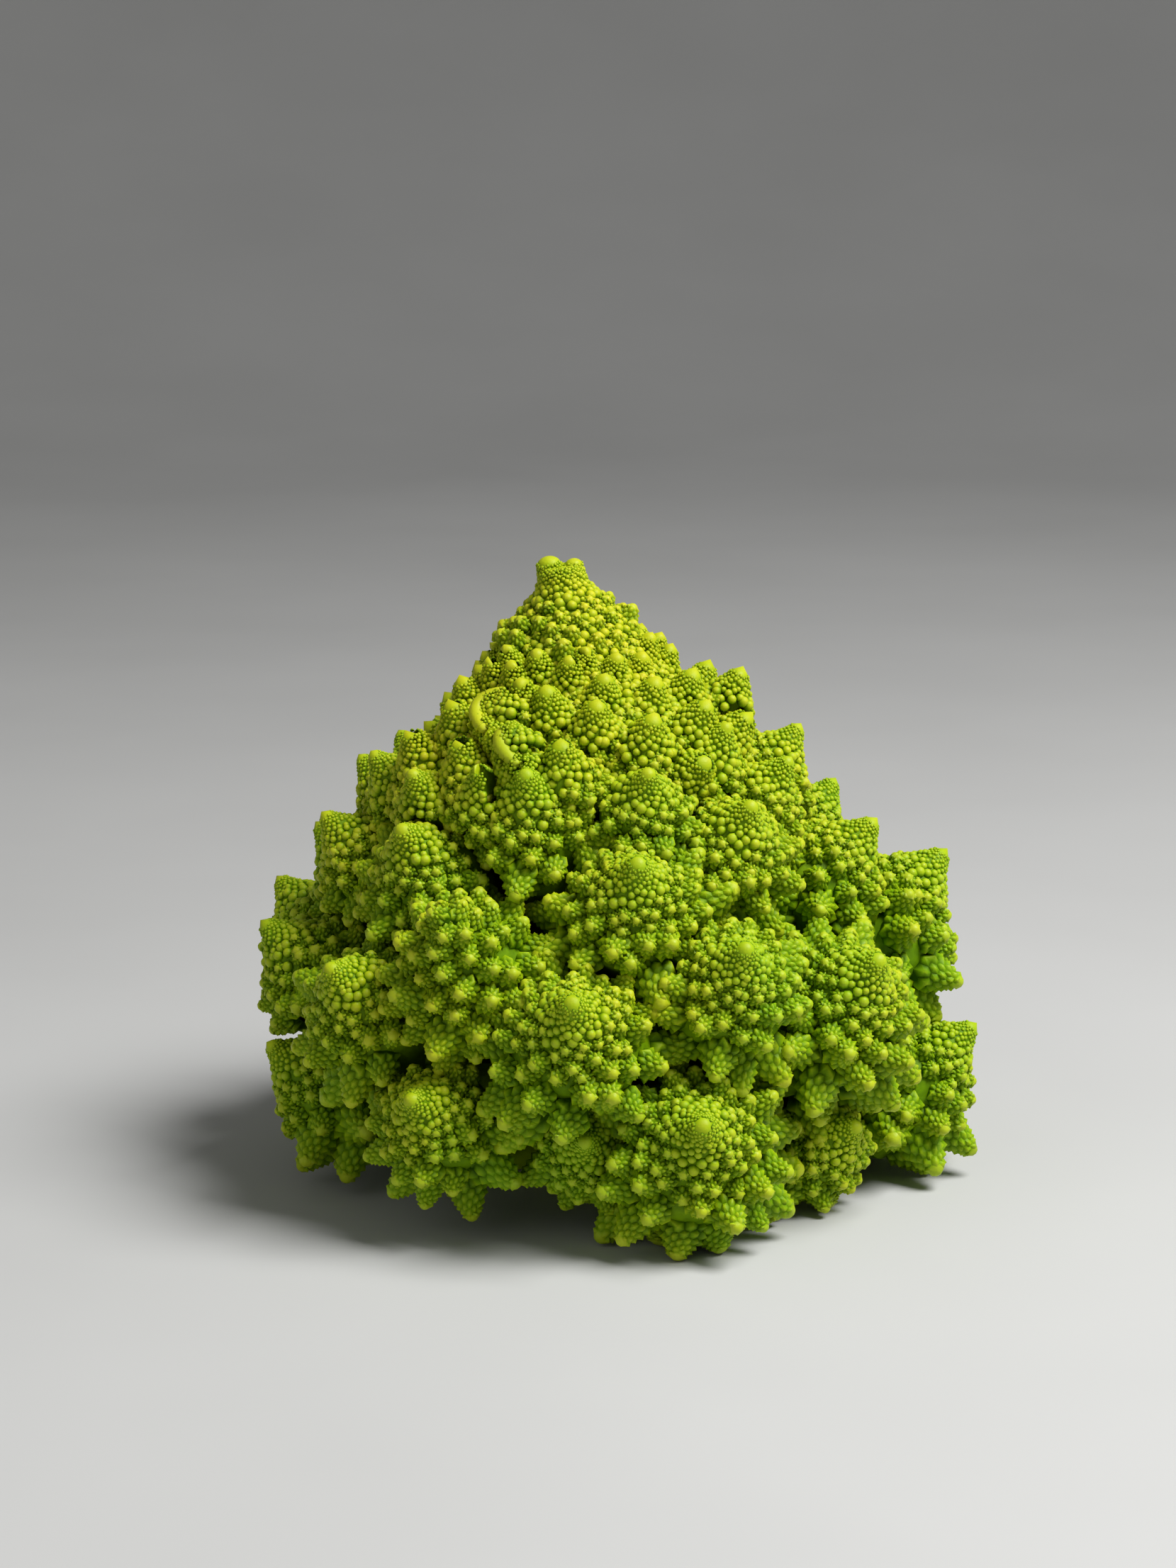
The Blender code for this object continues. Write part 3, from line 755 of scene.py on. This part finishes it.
def grow_crown(crown, everything):
    """The crown's body and the bodies of the small florets on it, and what is needed to dress them."""
    surface, fine = Surface(), Surface()
    profile = Profile(CROWN_PROFILE)
    rivals = near(crown, everything)
    shells.append(add_body(surface, crown, profile, rivals, 60, 24))
    add_stalk(surface, crown, profile, CROWN_STALK)
    minis, single, taken = placed_on_crown(crown)
    for crest in CRESTS:
        add_ridge(fine, crest)
    places = crown_places(crown, profile, taken)
    small = places[2] < SMALL_FLORET
    dressed = [(surface, crown, profile, places[:, small], rivals, 0.4, 0.5)]
    for aside, up, radius in HORNS:
        tip = crown.tip + Vector((aside, 0.0, up))
        horn = Branch(tip, crown.axis, crown.root, crown.root_face, radius, aside)
        shape = cap_profile(radius)
        shells.append(add_body(surface, horn, shape, [], 28, 12))
        spots = bud_places(shape, horn.turn, horn_spacing)
        dressed.append((surface, horn, shape, spots, [], 1.15 * radius, 0.3))
    minis += spiral_minis(crown, profile, places[:, ~small], rivals)
    for mini in minis:
        nose = float(between(mini.radius / MINI_RADIUS, MINI_NOSE))
        shape = floret_profile(mini.radius, nose, CROWN_NARROW)
        others = near(mini, minis, 1.6)
        shells.append(add_body(fine, mini, shape, others, 12, 7))
        spots = bud_places(shape, mini.turn, floret_spacing(mini.radius))
        dressed.append((fine, mini, shape, spots, others, first_bud(nose), 0.15))
    return surface, fine, dressed, single


def crest_tips(crest, shares):
    """Tips along a curve through a crest's three places, each turned away from the middle."""
    first, middle, last = (crown_tip(*place)[0] for place in crest)
    facing = crown_tip(*crest[1])[1]
    handle = 2.0 * middle - 0.5 * (first + last)
    along = (last - first).normalized()
    bow = (middle - 0.5 * (first + last)).normalized()
    tips = []
    for share in shares:
        left = 1.0 - share
        tip = first * left**2 + handle * 2.0 * share * left + last * share**2
        axis = facing + bow * CREST_BOW + along * CREST_FAN * (share - left)
        tips.append((tip, axis.normalized()))
    return tips


def add_ridge(surface, crest, sides=14, steps=24):
    """The smooth edge that joins the tips of a crest."""
    shares = np.linspace(-0.04, 1.04, steps)
    tips, axes = (np.array(values) for values in zip(*crest_tips(crest, shares)))
    spine = tips - CREST_SINK * axes
    tangent = unit(np.gradient(spine, axis=0))
    across = unit(np.cross(tangent, axes))
    facing = np.cross(across, tangent)
    middle = 1.0 - np.abs(np.linspace(-1.0, 1.0, steps)) ** 2.6
    radius = CREST_EDGE * np.sqrt(middle)
    turn = np.linspace(0.0, 2.0 * math.pi, sides, endpoint=False)[None, :, None]
    spokes = np.cos(turn) * across[:, None] + np.sin(turn) * facing[:, None]
    points = (spine[:, None] + radius[:, None, None] * spokes).reshape(-1, 3)
    surface.add(points, ring_faces(steps, sides)[:, ::-1], 0.9, 0.5)


def dress_crown(grown, material):
    surface, fine, dressed, single = grown
    centres, axes, sizes = (np.array(values) for values in zip(*single))
    heights = sizes * between(sizes, BUD_RISE)
    add_buds(surface, centres, axes, sizes, heights)
    for into, branch, profile, places, rivals, first, lift in dressed:
        dress(into, branch, profile, places, rivals, first, lift)
    surface.finish("crown_buds", material, "crown")
    fine.finish("crown_florets", material, "crown")


def tree_of(shells):
    """All bodies in one tree, for rays to be cast at."""
    points, faces, size = [], [], 0
    for shell_points, shell_faces in shells:
        points.append(shell_points)
        faces.append(shell_faces + size)
        size += len(shell_points)
    return BVHTree.FromPolygons(np.concatenate(points).tolist(), np.concatenate(faces).tolist())


def build_stem(material):
    """The stem with its cut face and low ribs, which stay inside the CAD's."""
    surface = Surface()
    sides = 96
    turn = np.linspace(0.0, 2.0 * math.pi, sides, endpoint=False)
    heights = np.concatenate(([0.0, 0.0, 0.6, 1.5, 3.0], np.linspace(6.0, 86.0, 28)))
    loops = []
    for n, height in enumerate(heights):
        radius = float(between(height, STEM_PROFILE)) - (0.9 if n == 1 else 0.0)
        radius = 0.5 if n == 0 else radius
        ribs = STEM_RIB * np.sin(5 * turn + 0.06 * height) * min(1.0, height / 8.0)
        centre = np.array(in_stem(height))
        ring = np.stack((np.sin(turn), -np.cos(turn), 0.0 * turn), axis=-1)
        loops.append(centre + ring * (radius + ribs - STEM_RIB)[:, None])
    points = np.concatenate(loops)
    cut = (points[:, 2] < 0.3).astype(float)
    surface.add(points, ring_faces(len(loops), sides)[:, ::-1], 1.0, cut)
    surface.finish("stem_stalk", material, "stem")


# Materials.


class Nodes:
    """A short way to write a node tree."""

    def __init__(self, name):
        self.material = bpy.data.materials.new(name)
        self.material.use_nodes = True
        self.tree = self.material.node_tree
        self.shader = self.tree.nodes["Principled BSDF"]

    def new(self, kind, **settings):
        node = self.tree.nodes.new(kind)
        for key, value in settings.items():
            if hasattr(node, key):
                setattr(node, key, value)
            else:
                node.inputs[key.replace("_", " ")].default_value = value
        return node

    def link(self, output, target):
        self.tree.links.new(output, target)

    def attribute(self, name):
        return self.new("ShaderNodeAttribute", attribute_name=name).outputs["Fac"]

    def noise(self, scale, detail=3.0):
        place = self.new("ShaderNodeTexCoord").outputs["Object"]
        node = self.new("ShaderNodeTexNoise", Scale=scale, Detail=detail)
        self.link(place, node.inputs["Vector"])
        return node.outputs["Fac"]

    def height(self):
        place = self.new("ShaderNodeTexCoord").outputs["Object"]
        split = self.new("ShaderNodeSeparateXYZ")
        self.link(place, split.inputs["Vector"])
        return split.outputs["Z"]

    def math(self, operation, first, second):
        node = self.new("ShaderNodeMath", operation=operation)
        for socket, value in zip(node.inputs, (first, second)):
            if isinstance(value, (int, float)):
                socket.default_value = value
            else:
                self.link(value, socket)
        return node.outputs[0]

    def ramp(self, factor, *stops):
        node = self.new("ShaderNodeValToRGB")
        elements = node.color_ramp.elements
        while len(elements) < len(stops):
            elements.new(0.5)
        for element, (place, colour) in zip(elements, stops):
            element.position = place
            element.color = (*colour, 1.0)
        self.link(factor, node.inputs["Fac"])
        return node.outputs["Color"]

    def mix(self, factor, first, second, kind="MIX"):
        node = self.new("ShaderNodeMix", data_type="RGBA", blend_type=kind)
        sockets = (node.inputs[0], node.inputs[6], node.inputs[7])
        for socket, value in zip(sockets, (factor, first, second)):
            if isinstance(value, (int, float)):
                socket.default_value = value
            elif isinstance(value, tuple):
                socket.default_value = (*value, 1.0)
            else:
                self.link(value, socket)
        return node.outputs[2]


def bud_material(name, tint):
    """Waxy green, yellower at the buds' tips, each bud a little different; the dark in the crevices
    and the light on the tops are painted shade and light.
    """
    nodes = Nodes(name)
    rise = nodes.attribute("rise")
    tone = nodes.attribute("tone")
    speckle = nodes.math("SUBTRACT", nodes.noise(420.0), 0.5)
    crevice_shade_and_speckle = nodes.math("ADD", rise, nodes.math("MULTIPLY", speckle, 0.35))
    # Along rise the colour runs from near-black green in the crevices, which is painted shade, to
    # light yellow green on the tops, partly the tips' own yellow and partly painted light.
    base = nodes.ramp(
        crevice_shade_and_speckle, (0.0, (0.035, 0.085, 0.001)), (0.3, (0.200, 0.320, 0.002)),
        (0.65, (0.390, 0.480, 0.004)), (1.0, (0.480, 0.520, 0.014)),
    )
    patch = nodes.ramp(nodes.noise(28.0), (0.35, (0.86, 0.97, 0.9)), (0.65, (1.08, 1.02, 1.0)))
    base = nodes.mix(1.0, base, patch, "MULTIPLY")
    each = nodes.ramp(tone, (0.0, (0.90, 0.96, 0.9)), (1.0, (1.06, 1.03, 1.0)))
    base = nodes.mix(1.0, base, each, "MULTIPLY")
    # Greener and a little darker lower down the head: partly its own colour, partly painted shade on
    # the lower, shaded part.
    level = nodes.math("MULTIPLY", nodes.height(), 1.0 / (APEX_HEIGHT * MM))
    greener_and_shaded_low = nodes.ramp(level, (0.15, (0.84, 0.96, 0.75)), (0.8, (1.0, 1.0, 1.0)))
    base = nodes.mix(1.0, base, greener_and_shaded_low, "MULTIPLY")
    base = nodes.mix(1.0, base, tint, "MULTIPLY")
    nodes.link(base, nodes.shader.inputs["Base Color"])
    rough = nodes.ramp(nodes.noise(900.0), (0.3, (0.42,) * 3), (0.7, (0.58,) * 3))
    nodes.link(rough, nodes.shader.inputs["Roughness"])
    grain = nodes.new("ShaderNodeBump", Strength=0.25, Distance=0.0003)
    nodes.link(nodes.noise(1500.0, 4.0), grain.inputs["Height"])
    beads = nodes.new("ShaderNodeBump", Strength=1.0, Distance=0.0004)
    ball = nodes.math("SINE", nodes.math("MULTIPLY", nodes.attribute("bead"), 0.5 * math.pi), 0.0)
    nodes.link(ball, beads.inputs["Height"])
    nodes.link(grain.outputs["Normal"], beads.inputs["Normal"])
    nodes.link(beads.outputs["Normal"], nodes.shader.inputs["Normal"])
    nodes.shader.inputs["Subsurface Weight"].default_value = 0.12
    nodes.shader.inputs["Subsurface Radius"].default_value = (0.9, 1.0, 0.2)
    nodes.shader.inputs["Subsurface Scale"].default_value = 0.0005
    # The shine follows the same painted shade: weaker in the crevices, stronger on the tops.
    shine = nodes.math("MULTIPLY_ADD", rise, 0.22)
    shine.node.inputs[2].default_value = 0.04
    nodes.link(shine, nodes.shader.inputs["Specular IOR Level"])
    return nodes.material


def stem_material():
    """Pale green skin, and paler flesh where the stem is cut."""
    nodes = Nodes("stem_green_looks")
    cut = nodes.attribute("tone")
    skin = nodes.ramp(nodes.noise(60.0), (0.3, (0.36, 0.46, 0.12)), (0.7, (0.48, 0.55, 0.20)))
    flesh = nodes.ramp(nodes.noise(200.0), (0.3, (0.56, 0.60, 0.34)), (0.7, (0.66, 0.68, 0.44)))
    nodes.link(nodes.mix(cut, skin, flesh), nodes.shader.inputs["Base Color"])
    rough = nodes.ramp(nodes.noise(300.0), (0.3, (0.45,) * 3), (0.7, (0.65,) * 3))
    nodes.link(rough, nodes.shader.inputs["Roughness"])
    bump = nodes.new("ShaderNodeBump", Strength=0.4, Distance=0.0005)
    nodes.link(nodes.noise(400.0, 4.0), bump.inputs["Height"])
    nodes.link(bump.outputs["Normal"], nodes.shader.inputs["Normal"])
    nodes.shader.inputs["Subsurface Weight"].default_value = 0.2
    nodes.shader.inputs["Subsurface Scale"].default_value = 0.002
    return nodes.material


# The stage.

FLOOR_FLAT, FLOOR_BEND = 1.3, 1.2  # in metres, as the lights are
LIGHT_TARGET = (0.0, 0.0, 0.07)


def build_floor():
    """A flat floor that curves up into a wall all round, so that no horizon shows."""
    bends = np.radians(np.linspace(0.0, 80.0, 24))
    out = np.concatenate(([0.0, 0.4], FLOOR_FLAT + FLOOR_BEND * np.sin(bends)))
    rise = np.concatenate(([0.0, 0.0], FLOOR_BEND * (1.0 - np.cos(bends))))
    sides = 96
    turn = np.linspace(0.0, 2.0 * math.pi, sides, endpoint=False)
    points = [(0.0, 0.0, 0.0)]
    for radius, height in zip(out[1:], rise[1:]):
        points += [(radius * math.cos(t), radius * math.sin(t), height) for t in turn]
    faces = [(0, 1 + n, 1 + (n + 1) % sides) for n in range(sides)]
    for ring in range(len(out) - 2):
        inner, outer = 1 + ring * sides, 1 + (ring + 1) * sides
        for n in range(sides):
            after = (n + 1) % sides
            faces.append((inner + n, outer + n, outer + after, inner + after))
    mesh = bpy.data.meshes.new("floor")
    mesh.from_pydata(points, [], faces)
    mesh.polygons.foreach_set("use_smooth", np.ones(len(faces), dtype=bool))
    floor = bpy.data.objects.new("floor", mesh)
    nodes = Nodes("floor_paint")
    colour = nodes.ramp(nodes.noise(6.0), (0.3, (0.50, 0.50, 0.49)), (0.7, (0.53, 0.53, 0.52)))
    nodes.link(colour, nodes.shader.inputs["Base Color"])
    nodes.shader.inputs["Roughness"].default_value = 0.8
    mesh.materials.append(nodes.material)
    bpy.context.collection.objects.link(floor)


def add_light(name, place, size, power):
    light = bpy.data.lights.new(name, "AREA")
    light.size = size
    light.energy = power
    made = bpy.data.objects.new(name, light)
    made.location = place
    back = Vector(place) - Vector(LIGHT_TARGET)
    made.rotation_euler = back.to_track_quat("Z", "Y").to_euler()
    bpy.context.collection.objects.link(made)


def build_lights():
    add_light("key", (0.6, -0.3, 1.05), 0.6, 22.0)
    add_light("fill", (-0.9, -0.9, 0.5), 1.2, 2.0)
    world = bpy.data.worlds.new("studio")
    world.use_nodes = True
    background = world.node_tree.nodes["Background"]
    background.inputs["Color"].default_value = (1.0, 1.0, 1.0, 1.0)
    background.inputs["Strength"].default_value = 0.14
    bpy.context.scene.world = world


CAMERA_RISE = math.radians(13.0)
CAMERA_DISTANCE = 850.0
CAMERA_TARGET = Vector((0.0, 0.0, 75.0))
CAMERA_ASIDE, CAMERA_UP = -8.5, 16.1  # where the picture's middle is, from the target
CAMERA_LENS = 85.07


def build_camera():
    back = Vector((0.0, -math.cos(CAMERA_RISE), math.sin(CAMERA_RISE)))
    right = Vector((1.0, 0.0, 0.0))
    up = back.cross(right)
    place = CAMERA_TARGET + back * CAMERA_DISTANCE
    aim = CAMERA_TARGET + right * CAMERA_ASIDE + up * CAMERA_UP
    camera = bpy.data.cameras.new("camera")
    camera.sensor_width = 36.0
    camera.lens = CAMERA_LENS
    camera.clip_end = 20.0
    made = bpy.data.objects.new("camera", camera)
    made.location = place * MM
    made.rotation_euler = (place - aim).to_track_quat("Z", "Y").to_euler()
    bpy.context.collection.objects.link(made)
    bpy.context.scene.camera = made


floret_green = bud_material("floret_green_looks", (1.0, 1.0, 1.0))
crown_green = bud_material("crown_green_looks", (1.06, 1.0, 1.0))
all_florets = [make_floret(n, *row) for n, row in enumerate(FLORETS, 1)]
the_crown = make_crown()
shells = []  # every body, which the growing below adds to
grown_florets = grow_florets(all_florets, all_florets + [the_crown])
grown_crown = grow_crown(the_crown, all_florets + [the_crown])
bodies = tree_of(shells)
dress_florets(grown_florets, floret_green)
dress_crown(grown_crown, crown_green)
build_stem(stem_material())
build_floor()
build_lights()
build_camera()
bpy.context.scene.view_settings.view_transform = "Standard"
